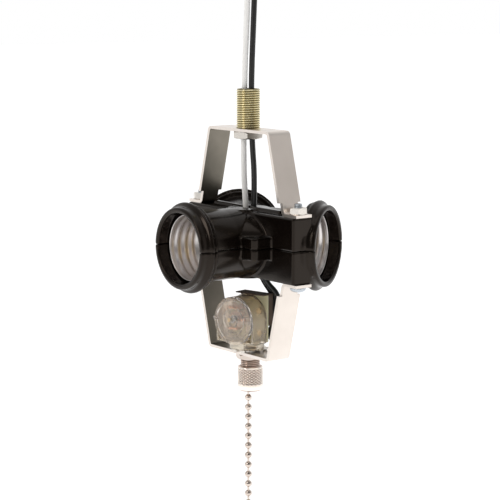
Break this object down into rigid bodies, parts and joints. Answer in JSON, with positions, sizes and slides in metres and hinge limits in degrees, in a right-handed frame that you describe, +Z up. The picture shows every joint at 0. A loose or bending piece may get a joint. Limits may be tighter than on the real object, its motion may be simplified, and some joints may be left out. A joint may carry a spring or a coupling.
{
  "type": "heat lamp fixture",
  "caption": "Lamp cluster of outward screw sockets in a moulded body, clamped between bent straps, on a threaded nipple with leads, with a pull chain switch below.",
  "frame": {"origin": "on the nipple's axis, halfway up the thread exposed above the upper strap", "axes": "+Z up along the nipple, -Y along the axis of lamp socket 1, +X towards the right-hand clamp screw"},
  "size_m": [0.0788, 0.0685, 0.2317],
  "materials": {
    "yellow_zinc": "satin",
    "bright_zinc": "bright plated",
    "screw_steel": "plated",
    "black_insulation": "gloss",
    "white_insulation": "gloss",
    "copper": "bright",
    "phenolic": "moulded gloss",
    "contact_brass": "satin",
    "clear_case": "clear moulding",
    "clear_cover": "clear moulding",
    "olive_board": "matte",
    "brown_fibre": "matte",
    "nickel": "plated",
    "cream_plastic": "satin",
    "shell_aluminium": "bright rolled"
  },
  "bodies": {
    "fixture": {"threaded_nipple": "yellow_zinc", "hanger_locknut": "bright_zinc", "upper_yoke": "bright_zinc", "lower_yoke": "bright_zinc", "clamp_screw_left": "screw_steel", "clamp_screw_right": "screw_steel", "clamp_nut_left": "bright_zinc", "clamp_nut_right": "bright_zinc", "supply_lead_black": "black_insulation", "supply_lead_white": "white_insulation", "bare_strands_black": "copper", "bare_strands_white": "copper", "body_upper_half": "phenolic", "body_lower_half": "phenolic", "live_spider": "contact_brass", "neutral_ring": "contact_brass", "switch_lead_live": "black_insulation", "switch_lead_load": "black_insulation", "switch_case": "clear_case", "switch_cover": "clear_cover", "switch_board": "olive_board", "fibre_shield": "brown_fibre", "threaded_bushing": "nickel", "tooth_washer": "bright_zinc", "bushing_locknut": "nickel", "knurled_bell": "nickel", "drum_axle": "contact_brass", "return_spring": "screw_steel", "fixed_contact_upper": "copper", "fixed_contact_lower": "copper", "terminal_rivets": "contact_brass", "screw_shell_1": "shell_aluminium", "centre_contact_1": "contact_brass", "contact_rivet_1": "contact_brass", "screw_shell_2": "shell_aluminium", "centre_contact_2": "contact_brass", "contact_rivet_2": "contact_brass", "screw_shell_3": "shell_aluminium", "centre_contact_3": "contact_brass", "contact_rivet_3": "contact_brass"},
    "pull_stem": {"stem_beads": "nickel", "stem_wire": "nickel"},
    "ratchet": {"ratchet_drum": "cream_plastic", "bridge_contact": "copper"},
    "swivel": {"swivel_bead": "nickel", "swivel_link": "nickel"},
    "chain": {"chain_beads": "nickel", "chain_links": "nickel", "end_bell": "nickel"}
  },
  "joints": [
    {"name": "pull", "type": "slide", "parent": "fixture", "child": "pull_stem", "axis": [0, 0, -1], "range_m": [0, 0.0066], "stiffness_N_per_m": 600},
    {"name": "ratchet_turn", "type": "hinge", "parent": "fixture", "child": "ratchet", "pos_m": [-0.00422, -0.00034, -0.0888], "axis": [-0.2079, 0.9781, 0], "range_deg": [0, 91]},
    {"name": "chain_swing_side", "type": "hinge", "parent": "pull_stem", "child": "swivel", "pos_m": [0, 0, -0.1186], "axis": [0, 1, 0], "range_deg": [-35, 35]},
    {"name": "chain_swing_front", "type": "hinge", "parent": "swivel", "child": "chain", "pos_m": [0, 0, -0.1228], "axis": [1, 0, 0], "range_deg": [-35, 35]}
  ],
  "couplings": [
    {"joint": "ratchet_turn", "follows": "pull", "rad_per_m": 238.1}
  ]
}
